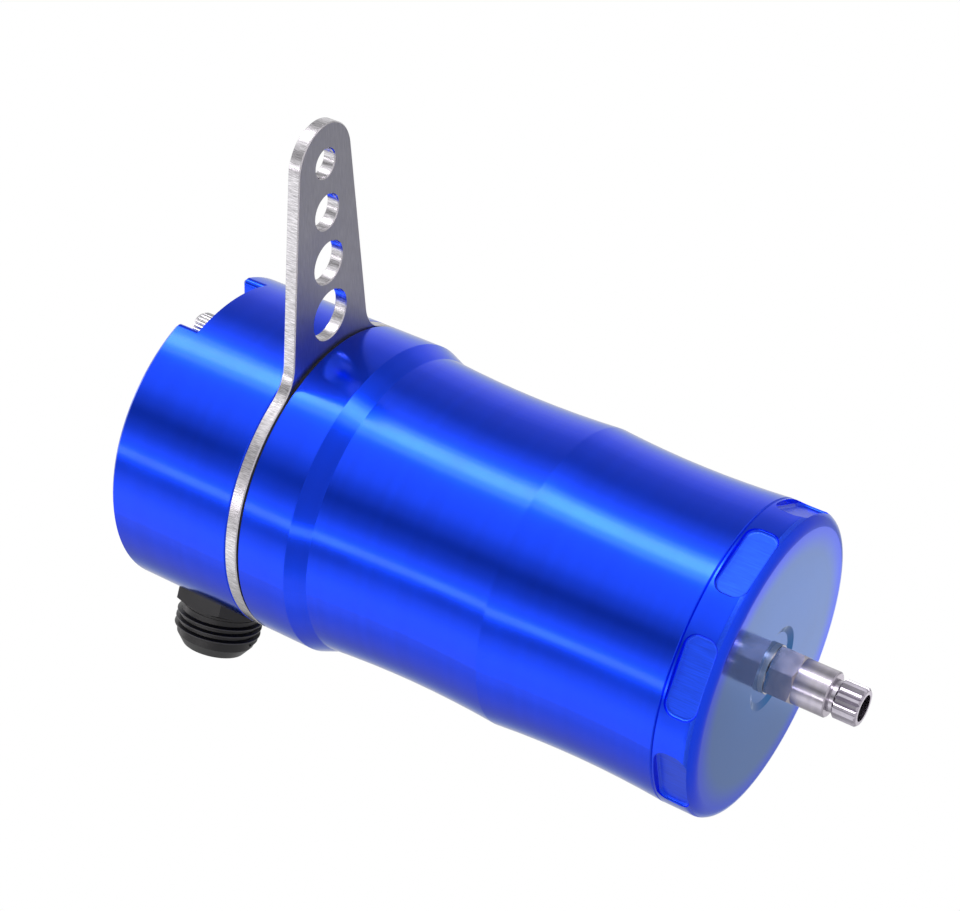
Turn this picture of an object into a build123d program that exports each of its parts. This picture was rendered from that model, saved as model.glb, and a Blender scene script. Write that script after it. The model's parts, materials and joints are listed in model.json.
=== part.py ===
from build123d import *
from math import asin, cos, degrees, pi, radians, sin, tan
import os

# Oil catch can: a turned aluminium can that hangs from a flat bracket, with two
# side ports in its cap, a scalloped base that unscrews and a drain valve below.
# All sizes are in millimetres. The can's axis is Z, its cap is up, and the
# bracket's arm points along +Y. The origin is the mouth of the drain outlet.

# Can, outside
body_radius = 39.7
base_height = 10.0
lower_waist_height = 44.5
upper_waist_height = 46.3
step_height = 5.0
collar_height = 13.3
gasket_thickness = 0.5
bracket_thickness = 3.2
cap_height = 34.3
step_drop = 2.0
ridge_drop = 2.4
seam_drop = 2.75
waist_sag = 0.95
edge_break = 0.3
cut_overrun = 1.0
pick_tolerance = 0.1
cap_edge_chamfer = 0.8

# Can, inside
wall_at_seam = 3.95
flange_width = 6.0
pilot_depth = 8.0
pilot_fit = 0.1
pilot_wall = 4.5
pilot_groove_lift = 2.6
cap_cavity_depth = 28.5
flange_thickness = 15.6

# Base
rim_fillet = 3.0
base_thread_length = 12.0
base_thread_fit = 0.05
base_floor = 5.0
base_floor_fall = 1.5
base_cup_wall = 4.5
dish_radius = 10.3
dish_floor_radius = 8.6
dish_depth = 0.7
grip_count = 8
grip_phase = 31.5
grip_width = 19.0
grip_depth = 1.9
grip_corner_radius = 3.0
grip_nose_radius = 0.8
grip_upper_land = 0.7
grip_lower_land = 1.5

# Bracket
arm_end_radius = 9.7
arm_root_inset = 9.7
arm_root_radius = 15.5
arm_root_fillet = 10.0
arm_hole_offsets = (9.3, 23.7, 37.2, 49.8)
arm_hole_diameters = (12.5, 10.5, 8.6, 7.0)
bracket_edge_break = 0.25

# Cap screws, three M5 cap heads
screw_count = 3
screw_edge_distance = 5.9
screw_phase = 82.5
screw_diameter = 5.0
screw_length = 40.0
screw_head_diameter = 8.5
screw_head_height = 5.0
screw_socket_width = 4.0
screw_socket_depth = 2.5
screw_hole_slack = 0.25
screw_hole_overrun = 2.0
counterbore_slack = 0.55

# Notch that opens the cap's rim over the first screw
notch_angle = 93.7
notch_width = 24.0
notch_depth = 6.6
notch_reach = 13.7
notch_corner_radius = 4.0
notch_mouth_fillet = 1.4

# Side ports and their fittings
port_angles = {"inlet": -65.0, "outlet": -115.0}
port_rise = 20.0
seat_sink = 2.7
spot_face_slack = 0.4
port_thread_radius = 10.4
port_thread_fit = 0.05
port_thread_length = 12.5
port_bore_overrun = 0.5
fitting_hex_width = 22.8
fitting_hex_height = 5.0
fitting_thread_radius = 11.0
fitting_thread_length = 9.0
fitting_relief_radius = 9.9
fitting_relief_length = 1.2
fitting_nose_length = 3.0
fitting_nose_angle = 37.0
fitting_nose_shoulder = 0.3
fitting_bore_radius = 6.9
hex_chamfer_angle = 30.0

# Baffle stack in the bore
stack_bottom = 72.0
clip_thickness = 1.5
clip_groove_depth = 1.2
clip_groove_slack = 0.1
clip_width = 3.6
clip_gap_angle = 34.0
clip_lug_radius = 2.6
clip_lug_hole_radius = 1.1
clip_angle = 115.0
baffle_thickness = 1.5
baffle_slack = 0.2
baffle_hole_radius = 1.7
baffle_row_spacing = 6.5
baffle_hole_pitch = 7.8
pad_height = 22.0
pad_slack = 0.4

# Seal rings
ring_section = 2.2
ring_side_gap = 0.2
ring_root_gap = 0.1
base_ring_lift = 0.8
base_ring_reach = 0.2
port_ring_lift = 0.15
port_recess_width = 1.54
port_undercut_depth = 0.77

# Drain valve
knob_radius = 4.6
knob_length = 6.0
knob_flute_count = 20
knob_flute_depth = 0.45
knob_crest_share = 0.2
knob_chamfer = 0.5
outlet_radius = 3.2
outlet_depth = 4.6
neck_radius = 3.8
neck_gap = 1.35
valve_barrel_radius = 5.45
valve_barrel_length = 8.0
valve_hex_width = 11.1
valve_hex_length = 6.5
valve_hex_phase = 45.5
valve_thread_radius = 4.8
valve_thread_fit = 0.03
valve_washer_thickness = 1.3
valve_washer_width = 1.1
stem_fit = 0.05
stem_length = 8.5
stem_bore_radius = 1.6
stem_cross_hole_radius = 1.0
seat_cone_height = 2.3
seat_hole_radius = 1.3
seat_gap = 0.06
stem_ring_section = 1.2
stem_ring_lift = 3.2

# Levels, from the mouth of the drain outlet upwards
z_neck = knob_length
z_valve_barrel = z_neck + neck_gap
z_valve_hex = z_valve_barrel + valve_barrel_length
z_washer = z_valve_hex + valve_hex_length
z_dish = z_washer + valve_washer_thickness
z_base_face = z_dish - dish_depth
z_seam = z_base_face + base_height
z_ridge = z_seam + lower_waist_height
z_step_low = z_ridge + upper_waist_height
z_step_top = z_step_low + step_height
z_collar_top = z_step_top + collar_height
z_bracket_low = z_collar_top + gasket_thickness
z_bracket_top = z_bracket_low + bracket_thickness
z_cap_top = z_bracket_top + cap_height
z_port = z_bracket_top + port_rise
z_notch = z_cap_top - notch_depth
z_pilot_low = z_collar_top - pilot_depth
z_cavity_top = z_bracket_top + cap_cavity_depth
z_flange_low = z_collar_top - flange_thickness
z_base_floor = z_base_face + base_floor

# Stack levels in the bore, from the lower clip upwards
z_lower_baffle = stack_bottom + clip_thickness
z_pad = z_lower_baffle + baffle_thickness
z_upper_baffle = z_pad + pad_height
z_upper_clip = z_upper_baffle + baffle_thickness

# Radii, reaches and angles that follow from the sizes above
under_collar_radius = body_radius - step_drop
ridge_radius = body_radius - ridge_drop
seam_radius = body_radius - seam_drop
bore_radius = seam_radius - wall_at_seam
pilot_radius = bore_radius - flange_width
base_thread_radius = bore_radius - base_thread_fit
spigot_radius = pilot_radius - pilot_fit
cavity_radius = spigot_radius - pilot_wall
seat_reach = body_radius - seat_sink
notch_inner_radius = body_radius - notch_reach
screw_circle_radius = body_radius - screw_edge_distance
arm_root_reach = body_radius - arm_root_inset
arm_hole_reaches = [body_radius + offset for offset in arm_hole_offsets]
screw_hole_radius = screw_diameter / 2 + screw_hole_slack
counterbore_radius = screw_head_diameter / 2 + counterbore_slack
port_bore_radius = port_thread_radius + port_thread_fit
fitting_corner_radius = fitting_hex_width / 2 / cos(pi / 6)
screw_angles = [screw_phase + 360 / screw_count * i for i in range(screw_count)]


def turned(*points):
    """Solid turned about Z from a closed outline of (radius, height) points."""
    return revolve(Plane.XZ * make_face(Polyline(*points, close=True)), Axis.Z)


def washer(inner, outer, low, high):
    return turned((inner, low), (outer, low), (outer, high), (inner, high))


def drill(radius, low, high):
    return Pos(0, 0, low) * Cylinder(radius, high - low, align=(Align.CENTER, Align.CENTER, Align.MIN))


def seal_ring(mid_radius, section, height):
    return Pos(0, 0, height) * Torus(mid_radius, section / 2)


def around(reach, angle):
    """Place at a distance from the can's axis, at an angle from +X."""
    return Rot(0, 0, angle) * Pos(reach, 0, 0)


def hexagon(width, low, high, phase, low_end_turned):
    """Hexagon bar with the corners turned off its upper end, or off both ends."""
    corner = width / 2 / cos(pi / 6)
    fall = (corner - width / 2) * tan(radians(hex_chamfer_angle))
    bar = extrude(Plane.XY.offset(low) * Rot(0, 0, phase) * RegularPolygon(corner, 6), high - low)
    low_end = [(width / 2, low), (corner, low + fall)] if low_end_turned else [(corner, low)]
    return bar & turned((0, low), *low_end, (corner, high - fall), (width / 2, high), (0, high))


def barrel():
    """Waisted tube with an inward flange at its collar for the cap screws."""
    seam = seam_radius - edge_break
    lower_mid = ((seam_radius + ridge_radius) / 2 - waist_sag, (z_seam + z_ridge) / 2)
    upper_mid = ((ridge_radius + under_collar_radius) / 2 - waist_sag, (z_ridge + z_step_low) / 2)
    outline = Polyline((seam, z_seam), (seam_radius, z_seam + edge_break))
    outline += ThreePointArc((seam_radius, z_seam + edge_break), lower_mid, (ridge_radius, z_ridge))
    outline += ThreePointArc((ridge_radius, z_ridge), upper_mid, (under_collar_radius, z_step_low))
    outline += Polyline((under_collar_radius, z_step_low), (body_radius, z_step_top),
                        (body_radius, z_collar_top - edge_break), (body_radius - edge_break, z_collar_top),
                        (pilot_radius, z_collar_top), (pilot_radius, z_flange_low),
                        (bore_radius, z_flange_low), (bore_radius, z_seam), (seam, z_seam))
    tube = revolve(Plane.XZ * make_face(outline), Axis.Z)
    groove_radius = bore_radius + clip_groove_depth
    for level in (stack_bottom, z_upper_clip):
        low = level - clip_groove_slack
        tube -= washer(0, groove_radius, low, low + clip_thickness + 2 * clip_groove_slack)
    tapped_low = z_notch - screw_length - screw_hole_overrun
    for angle in screw_angles:
        tube -= around(screw_circle_radius, angle) * drill(screw_diameter / 2, tapped_low, z_collar_top)
    return tube


def grip_cutter():
    """Flat pocket milled into the base's side by a cutter with a rounded nose."""
    low = z_base_face + grip_lower_land
    high = z_seam - grip_upper_land
    floor = Plane(origin=(seam_radius - grip_depth, 0, (low + high) / 2), x_dir=(0, 1, 0), z_dir=(1, 0, 0))
    outline = RectangleRounded(grip_width, high - low, grip_corner_radius)
    cutter = extrude(floor * outline, 2 * grip_depth)
    return fillet(cutter.faces().sort_by(Axis.X)[0].edges(), grip_nose_radius)


def base_cap():
    """Screwed base: scalloped grip outside, funnelled cup and thread inside."""
    groove_low = z_seam + base_ring_lift
    groove_high = groove_low + ring_section + 2 * ring_side_gap
    ring_outer = bore_radius - base_ring_reach
    groove_radius = ring_outer - ring_section - ring_root_gap
    cup_radius = base_thread_radius - base_cup_wall
    z_top = z_seam + base_thread_length
    rim = seam_radius - rim_fillet
    rim_mid = rim_fillet * (1 - cos(pi / 4))
    outline = Polyline((0, z_dish), (dish_floor_radius, z_dish), (dish_radius, z_base_face),
                       (rim, z_base_face))
    outline += ThreePointArc((rim, z_base_face), (seam_radius - rim_mid, z_base_face + rim_mid),
                             (seam_radius, z_base_face + rim_fillet))
    outline += Polyline((seam_radius, z_base_face + rim_fillet), (seam_radius, z_seam - edge_break),
                        (seam_radius - edge_break, z_seam), (base_thread_radius, z_seam),
                        (base_thread_radius, groove_low), (groove_radius, groove_low),
                        (groove_radius, groove_high), (base_thread_radius, groove_high),
                        (base_thread_radius, z_top - cap_edge_chamfer),
                        (base_thread_radius - cap_edge_chamfer, z_top), (cup_radius, z_top),
                        (cup_radius, z_base_floor + base_floor_fall), (0, z_base_floor), (0, z_dish))
    base = revolve(Plane.XZ * make_face(outline), Axis.Z)
    cutter = grip_cutter()
    for i in range(grip_count):
        base -= Rot(0, 0, grip_phase + 360 / grip_count * i) * cutter
    valve_hole = valve_thread_radius + valve_thread_fit
    return base - drill(valve_hole, z_base_face - cut_overrun, z_base_floor + cut_overrun)


def base_seal_ring():
    outer = bore_radius - base_ring_reach
    height = z_seam + base_ring_lift + ring_side_gap + ring_section / 2
    return seal_ring(outer - ring_section / 2, ring_section, height)


def bracket_outline():
    """Ring with a tapered, round-ended arm, flared where the two meet."""
    end = Pos(0, arm_hole_reaches[-1]) * Circle(arm_end_radius)
    root = Pos(0, arm_root_reach) * Circle(arm_root_radius)
    arm = make_hull((end + root).edges())
    blank = Circle(body_radius) + arm
    upper = [v for v in blank.vertices() if v.Y > 0]
    corners = [v for v in upper if abs(Vector(v.X, v.Y).length - body_radius) < pick_tolerance]
    return fillet(corners, arm_root_fillet)


def mounting_bracket():
    plate = bracket_outline() - Circle(pilot_radius)
    for reach, diameter in zip(arm_hole_reaches, arm_hole_diameters):
        plate -= Pos(0, reach) * Circle(diameter / 2)
    for angle in screw_angles:
        plate -= around(screw_circle_radius, angle) * Circle(screw_hole_radius)
    blank = extrude(Plane.XY.offset(z_bracket_low) * plate, bracket_thickness)
    faces = blank.faces().filter_by(Axis.Z)
    return chamfer(faces.edges(), bracket_edge_break)


def collar_gasket():
    ring = Circle(body_radius - 2 * edge_break) - Circle(pilot_radius)
    for angle in screw_angles:
        ring -= around(screw_circle_radius, angle) * Circle(screw_hole_radius)
    return extrude(Plane.XY.offset(z_collar_top) * ring, gasket_thickness)


def port_plane(angle):
    """Plane on a port's seat, facing out, with its X axis up the can."""
    out = Vector(cos(radians(angle)), sin(radians(angle)), 0)
    return Plane(origin=out * seat_reach + Vector(0, 0, z_port), x_dir=(0, 0, 1), z_dir=out)


def port_cut(angle):
    """Spot face, ring recess, thread and way into the cap's chamber, of one port."""
    bore_depth = port_thread_length + port_bore_overrun
    recess = port_thread_radius + port_recess_width
    cut = drill(fitting_corner_radius + spot_face_slack, 0, body_radius)
    cut += drill(recess, -ring_section - ring_side_gap, 0)
    cut += drill(port_bore_radius, -bore_depth, 0)
    cut += drill(fitting_bore_radius, cavity_radius - seat_reach - fitting_bore_radius / 2, 0)
    return port_plane(angle) * cut


def notch_cut():
    """Pocket milled in from the rim, with round inner corners and a round mouth."""
    length = 2 * body_radius - notch_inner_radius
    blank = Pos(notch_inner_radius + length / 2, 0) * Rectangle(length, notch_width)
    blank = fillet(blank.vertices().group_by(Axis.X)[0], notch_corner_radius)
    return Rot(0, 0, notch_angle) * extrude(Plane.XY.offset(z_notch) * blank, notch_depth + cut_overrun)


def mouth_edges(cap):
    """The two upright edges where the notch breaks through the rim."""
    middle = (z_notch + z_cap_top) / 2
    upright = [e for e in cap.edges().filter_by(Axis.Z) if abs((e @ 0.5).Z - middle) < pick_tolerance]
    return [e for e in upright if abs(Vector((e @ 0.5).X, (e @ 0.5).Y).length - body_radius) < pick_tolerance]


def top_cap():
    """Billet cap with its pilot, seal groove, ports, screw holes and rim notch."""
    groove_low = z_pilot_low + pilot_groove_lift
    groove_high = groove_low + ring_section + 2 * ring_side_gap
    groove_radius = pilot_radius - ring_root_gap - ring_section
    blank = turned((0, z_cavity_top), (cavity_radius, z_cavity_top), (cavity_radius, z_pilot_low),
                   (spigot_radius - cap_edge_chamfer, z_pilot_low),
                   (spigot_radius, z_pilot_low + cap_edge_chamfer), (spigot_radius, groove_low),
                   (groove_radius, groove_low), (groove_radius, groove_high),
                   (spigot_radius, groove_high), (spigot_radius, z_bracket_top),
                   (body_radius - edge_break, z_bracket_top), (body_radius, z_bracket_top + edge_break),
                   (body_radius, z_cap_top), (0, z_cap_top))
    blank -= notch_cut()
    blank = fillet(mouth_edges(blank), notch_mouth_fillet)
    blank = chamfer(blank.faces().sort_by(Axis.Z)[-1].edges(), cap_edge_chamfer)
    screw_hole = drill(screw_hole_radius, z_bracket_top - cut_overrun, z_cap_top)
    counterbore = drill(counterbore_radius, z_notch, z_cap_top + cut_overrun)
    for angle in screw_angles:
        blank -= around(screw_circle_radius, angle) * screw_hole
    for angle in screw_angles[1:]:
        blank -= around(screw_circle_radius, angle) * counterbore
    for angle in port_angles.values():
        blank -= port_cut(angle)
    return blank


def cap_seal_ring():
    outer = pilot_radius - ring_root_gap / 2
    height = z_pilot_low + pilot_groove_lift + ring_side_gap + ring_section / 2
    return seal_ring(outer - ring_section / 2, ring_section, height)


def cap_screw(angle):
    head = turned((0, z_notch), (screw_head_diameter / 2, z_notch),
                  (screw_head_diameter / 2, z_notch + screw_head_height - edge_break),
                  (screw_head_diameter / 2 - edge_break, z_notch + screw_head_height),
                  (0, z_notch + screw_head_height))
    socket = RegularPolygon(screw_socket_width / 2, 6, major_radius=False)
    head -= extrude(Plane.XY.offset(z_notch + screw_head_height) * socket, -screw_socket_depth)
    radius = screw_diameter / 2
    shank = turned((0, z_notch - screw_length), (radius - edge_break, z_notch - screw_length),
                   (radius, z_notch - screw_length + edge_break), (radius, z_notch), (0, z_notch))
    return around(screw_circle_radius, angle) * (head + shank)


def hose_fitting(angle):
    """Straight male fitting: port thread, hexagon, hose thread and flared nose."""
    z_thread = fitting_hex_height + fitting_relief_length
    z_nose = fitting_hex_height + fitting_thread_length
    z_tip = z_nose + fitting_nose_length
    nose_radius = fitting_thread_radius - fitting_nose_shoulder
    tip_radius = nose_radius - fitting_nose_length * tan(radians(fitting_nose_angle))
    undercut_radius = port_thread_radius - port_undercut_depth
    undercut = ring_section + ring_side_gap
    stem = turned((fitting_bore_radius, -port_thread_length),
                  (port_thread_radius - edge_break, -port_thread_length),
                  (port_thread_radius, -port_thread_length + edge_break), (port_thread_radius, -undercut),
                  (undercut_radius, -undercut), (undercut_radius, 0), (fitting_relief_radius, 0),
                  (fitting_relief_radius, z_thread), (fitting_thread_radius, z_thread + edge_break),
                  (fitting_thread_radius, z_nose - edge_break), (nose_radius, z_nose), (tip_radius, z_tip),
                  (fitting_bore_radius, z_tip))
    nut = hexagon(fitting_hex_width, 0, fitting_hex_height, 0, False)
    nut -= drill(fitting_bore_radius, -cut_overrun, z_tip)
    return port_plane(angle) * (stem + nut)


def port_seal_ring(angle):
    inner = port_thread_radius - port_undercut_depth + ring_root_gap / 2
    ring = seal_ring(inner + ring_section / 2, ring_section, -ring_section / 2 - port_ring_lift)
    return port_plane(angle) * ring


def baffle(low):
    """Perforated disc with rings of holes."""
    disc = Circle(bore_radius - baffle_slack)
    rows = int((bore_radius - baffle_slack - baffle_hole_radius) // baffle_row_spacing)
    for row in range(1, rows + 1):
        radius = baffle_row_spacing * row
        count = int(2 * pi * radius // baffle_hole_pitch)
        for i in range(count):
            disc -= around(radius, 360 / count * i) * Circle(baffle_hole_radius)
    return extrude(Plane.XY.offset(low) * disc, baffle_thickness)


def mesh_pad():
    return drill(bore_radius - pad_slack, z_pad, z_upper_baffle)


def retaining_ring(low):
    """Sprung ring, open at one side, with an eyed lug at each end."""
    outer = bore_radius + clip_groove_depth - clip_groove_slack
    band = Circle(outer) - Circle(outer - clip_width)
    half = clip_gap_angle / 2
    far = 2 * outer
    wedge = Polyline((0, 0), (far * cos(radians(half)), far * sin(radians(half))),
                     (far * cos(radians(half)), -far * sin(radians(half))), close=True)
    ring = band - make_face(wedge)
    lug_reach = bore_radius - baffle_slack - clip_lug_radius
    lug_angle = half + degrees(asin(clip_lug_radius / lug_reach))
    for side in (-1, 1):
        ring += around(lug_reach, side * lug_angle) * Circle(clip_lug_radius)
    for side in (-1, 1):
        ring -= around(lug_reach, side * lug_angle) * Circle(clip_lug_hole_radius)
    return Rot(0, 0, clip_angle) * extrude(Plane.XY.offset(low) * ring, clip_thickness)


def drain_valve_body():
    """Hexagon and barrel below, pipe thread above, with the needle's seat inside."""
    z_shank = z_base_floor - edge_break
    bore = neck_radius + stem_fit
    z_bore_top = z_neck + stem_length
    z_cone_top = z_bore_top + seat_cone_height
    shell = turned((bore, z_valve_barrel), (valve_barrel_radius - edge_break, z_valve_barrel),
                   (valve_barrel_radius, z_valve_barrel + edge_break), (valve_barrel_radius, z_washer),
                   (valve_thread_radius, z_washer), (valve_thread_radius, z_shank - edge_break),
                   (valve_thread_radius - edge_break, z_shank), (seat_hole_radius, z_shank),
                   (seat_hole_radius, z_cone_top), (bore, z_bore_top))
    nut = hexagon(valve_hex_width, z_valve_hex, z_washer, valve_hex_phase, True)
    nut -= turned((0, z_valve_hex), (bore, z_valve_hex), (bore, z_bore_top), (seat_hole_radius, z_cone_top),
                  (seat_hole_radius, z_washer), (0, z_washer))
    return shell + nut


def drain_valve_washer():
    inner = valve_thread_radius + valve_thread_fit
    return washer(inner, inner + valve_washer_width, z_washer, z_dish)


def fluted_outline():
    """Straight knurl: flat crests with vee grooves between them."""
    pitch = 2 * pi / knob_flute_count
    root = knob_radius - knob_flute_depth
    points = []
    for i in range(knob_flute_count):
        for share, radius in ((-knob_crest_share, knob_radius), (knob_crest_share, knob_radius), (0.5, root)):
            turn = pitch * (i + share)
            points.append((radius * cos(turn), radius * sin(turn)))
    return make_face(Polyline(*points, close=True))


def drain_valve_stem():
    """Hollow knob and needle in one: oil runs through the cross hole and out below."""
    knob = extrude(fluted_outline(), knob_length)
    knob &= turned((0, 0), (knob_radius - knob_chamfer, 0), (knob_radius, knob_chamfer),
                   (knob_radius, knob_length - knob_chamfer), (knob_radius - knob_chamfer, knob_length),
                   (0, knob_length))
    z_cone = z_neck + stem_length - seat_gap
    groove_low = z_valve_barrel + stem_ring_lift
    groove_high = groove_low + stem_ring_section + ring_side_gap
    groove_radius = neck_radius - stem_ring_section
    needle = turned((0, outlet_depth), (neck_radius, outlet_depth), (neck_radius, groove_low),
                    (groove_radius, groove_low), (groove_radius, groove_high), (neck_radius, groove_high),
                    (neck_radius, z_cone), (seat_hole_radius, z_cone + seat_cone_height),
                    (0, z_cone + seat_cone_height))
    z_cross = z_cone - stem_cross_hole_radius - edge_break
    stem = knob + needle
    stem -= drill(outlet_radius, -cut_overrun, outlet_depth)
    stem -= drill(stem_bore_radius, 0, z_cross)
    cross = Pos(0, 0, z_cross) * Rot(90, 0, 0) * Cylinder(stem_cross_hole_radius, 4 * neck_radius)
    return stem - cross


def drain_stem_seal():
    middle = neck_radius - stem_ring_section / 2
    height = z_valve_barrel + stem_ring_lift + (stem_ring_section + ring_side_gap) / 2
    return seal_ring(middle, stem_ring_section - ring_side_gap / 2, height)


parts = {
    "top_cap": top_cap(),
    "mounting_bracket": mounting_bracket(),
    "collar_gasket": collar_gasket(),
    "barrel": barrel(),
    "base_cap": base_cap(),
    "cap_seal_ring": cap_seal_ring(),
    "base_seal_ring": base_seal_ring(),
    "upper_retaining_ring": retaining_ring(z_upper_clip),
    "upper_baffle": baffle(z_upper_baffle),
    "mesh_pad": mesh_pad(),
    "lower_baffle": baffle(z_lower_baffle),
    "lower_retaining_ring": retaining_ring(stack_bottom),
    "drain_valve_body": drain_valve_body(),
    "drain_valve_washer": drain_valve_washer(),
    "drain_valve_stem": drain_valve_stem(),
    "drain_stem_seal": drain_stem_seal(),
}
for number, angle in enumerate(screw_angles, 1):
    parts[f"cap_screw_{number}"] = cap_screw(angle)
for side, angle in port_angles.items():
    parts[f"{side}_fitting"] = hose_fitting(angle)
    parts[f"{side}_seal_ring"] = port_seal_ring(angle)

os.makedirs("parts", exist_ok=True)
for name, part in parts.items():
    export_step(part, f"parts/{name}.step")
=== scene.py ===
import json
from math import atan2, cos, hypot, pi, radians, sin, tan

import bmesh
import bpy
from bpy.props import FloatProperty, FloatVectorProperty, IntProperty, PointerProperty
from mathutils import Matrix, Vector


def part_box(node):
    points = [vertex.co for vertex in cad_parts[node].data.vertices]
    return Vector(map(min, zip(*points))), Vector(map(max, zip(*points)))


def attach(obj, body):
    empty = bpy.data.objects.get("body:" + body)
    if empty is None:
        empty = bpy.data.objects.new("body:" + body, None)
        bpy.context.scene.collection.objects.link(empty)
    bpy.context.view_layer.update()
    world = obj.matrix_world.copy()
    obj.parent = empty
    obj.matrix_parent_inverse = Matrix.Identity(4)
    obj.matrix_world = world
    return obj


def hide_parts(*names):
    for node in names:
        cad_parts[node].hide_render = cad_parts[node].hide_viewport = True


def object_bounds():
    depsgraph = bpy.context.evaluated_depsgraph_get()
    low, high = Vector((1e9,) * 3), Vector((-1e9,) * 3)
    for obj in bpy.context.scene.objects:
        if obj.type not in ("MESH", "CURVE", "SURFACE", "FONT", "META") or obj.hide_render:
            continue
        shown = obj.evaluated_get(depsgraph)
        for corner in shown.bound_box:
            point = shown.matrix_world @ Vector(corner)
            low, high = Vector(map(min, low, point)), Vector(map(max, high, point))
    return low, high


bl_info = {
    "name": "Oil Catch Can",
    "version": (1, 0, 0),
    "blender": (4, 5, 0),
    "location": "View3D > Sidebar > Catch Can",
    "description": "Gives a packed oil catch can its anodised, brushed, plated and threaded finish",
    "category": "Object",
}

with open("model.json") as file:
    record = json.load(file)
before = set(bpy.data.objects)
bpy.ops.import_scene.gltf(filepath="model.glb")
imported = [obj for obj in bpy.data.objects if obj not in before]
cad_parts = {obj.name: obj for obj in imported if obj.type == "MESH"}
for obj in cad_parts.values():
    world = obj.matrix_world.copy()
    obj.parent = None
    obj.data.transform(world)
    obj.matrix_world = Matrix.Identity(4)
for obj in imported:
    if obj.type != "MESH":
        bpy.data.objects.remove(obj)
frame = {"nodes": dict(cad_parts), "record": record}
cad_low, cad_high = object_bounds()
nodes = frame["nodes"]
mounts = {mount["name"]: mount for mount in frame["record"]["mounts"]}


def length(label, description, default):
    return FloatProperty(name=label, description=description, default=default, unit="LENGTH", precision=5)


def share(label, description, default):
    return FloatProperty(name=label, description=description, default=default, min=0, max=1, subtype="FACTOR")


def index(label, description, default):
    return FloatProperty(name=label, description=description, default=default, min=1)


def level(label, description, default):
    return FloatProperty(name=label, description=description, default=default, min=0)


def colour(label, description, default):
    return FloatVectorProperty(name=label, description=description, default=default, min=0, max=1,
                               size=3, subtype="COLOR")


class CATCHCAN_Finishes(bpy.types.PropertyGroup):
    """Colours and surface sizes of the metals and rubbers"""

    blue_dye: colour("Blue dye", "Anodised blue of the turned body", (0.0003, 0.052, 0.92))
    blue_milled: colour("Milled blue", "Anodised blue where a cutter has run", (0.012, 0.075, 0.85))
    # The base's end has a paler, greyer copy of the blue: a painted reflection
    blue_end_painted_pale: colour("Faced blue", "Anodised blue of the base's faced-off end", (0.002, 0.14, 0.4))
    blue_slant: colour("Slant blue", "Tint of the dyed metal at a slant", (0.25, 0.5, 0.9))
    black_dye: colour("Black dye", "Anodised black of the hose fittings", (0.006, 0.006, 0.007))
    # The hose thread's crests are painted paler as a glint
    black_crest_painted_glint: colour("Worn black", "Hose thread's crests, rubbed paler", (0.035, 0.035, 0.037))
    # Both bracket colours are the same brushed steel: the face colour is darker and slightly bluer than the
    # steel's own grey as painted shade, and the edge colour is paler as a painted highlight
    plate_face_painted_shade: colour("Plate face", "Brushed face of the bracket", (0.3, 0.3, 0.34))
    plate_edge_painted_highlight: colour("Plate edge", "Cut edge and hole walls of the bracket", (0.72, 0.7, 0.73))
    bright_steel: colour("Bright steel", "Cap screws", (0.5, 0.5, 0.52))
    nickel: colour("Nickel", "Plating of the drain valve", (0.5, 0.47, 0.54))
    rubber: colour("Rubber", "Seal rings and gasket", (0.012, 0.012, 0.013))
    plain_metal: colour("Plain metal", "Undyed aluminium inside", (0.68, 0.68, 0.7))
    knitted_wire: colour("Knitted wire", "Steel mesh pad", (0.42, 0.42, 0.43))
    spring_steel: colour("Spring steel", "Retaining rings", (0.07, 0.065, 0.06))
    turning_pitch: length("Turning pitch", "Feed of the lathe tool", 0.00012)
    turning_depth: length("Turning depth", "Height of the turning marks", 0.0000012)
    brush_width: length("Brush width", "Width of one brushed line", 0.00016)
    brush_depth: length("Brush depth", "Height of the brushed lines", 0.000004)
    milling_width: length("Milling width", "Width of one milled line", 0.00024)
    plating_depth: length("Plating depth", "Height of the turning marks under a plating", 0.0000024)
    rubber_grain: length("Rubber grain", "Width of the rubber's moulded grain", 0.0004)
    rubber_depth: length("Rubber depth", "Height of that grain", 0.00001)
    wire_depth: length("Wire depth", "Height of the knitted ripples", 0.0004)
    side_coat: index("Side coat", "Refractive index of the oxide on the turned sides", 1.25)
    face_coat: index("Face coat", "Refractive index of the oxide on the faced end", 1.4)
    # The end's painted paler reflection fades into the sides' blue between these two shares of the rim
    fade_start: share("Fade start", "Where the faced end starts to darken, as a share of the rim", 0.74)
    fade_end: share("Fade end", "Where it has the colour of the sides", 0.93)


class CATCHCAN_FittingSizes(bpy.types.PropertyGroup):
    """Sizes of one hose fitting, measured along its own axis"""

    hex_width: length("Hexagon width", "Across the flats", 0.0228)
    hex_height: length("Hexagon height", "Along the axis", 0.005)
    relief_length: length("Relief length", "Undercut between hexagon and thread", 0.0012)
    relief_radius: length("Relief radius", "Radius of that undercut", 0.0099)
    crest_radius: length("Crest radius", "Outside of the hose thread", 0.011)
    root_radius: length("Root radius", "Bottom of the hose thread", 0.01005)
    thread_length: length("Thread length", "Threaded stretch after the relief", 0.0078)
    thread_pitch: length("Thread pitch", "Fourteen threads to the inch", 0.001814)
    crest_width: length("Crest width", "Flat on top of the thread", 0.00028)
    nose_length: length("Nose length", "Flared nose past the thread", 0.003)
    nose_angle: FloatProperty(name="Nose angle", description="Flare's half angle",
                              default=radians(37), subtype="ANGLE")
    nose_step: length("Nose step", "From the thread's roots in to the nose", 0.0001)
    nose_land: length("Nose land", "Plain stretch before the flare", 0.0004)
    land_fall: length("Land fall", "What the flare would narrow over that stretch", 0.0003)
    bore_radius: length("Bore radius", "Way through the fitting", 0.0069)
    stub_radius: length("Stub radius", "Port thread inside the cap", 0.0104)
    stub_length: length("Stub length", "Port thread's length", 0.0125)
    edge_bevel: length("Edge bevel", "Width of the softened edges", 0.0001)


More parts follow.
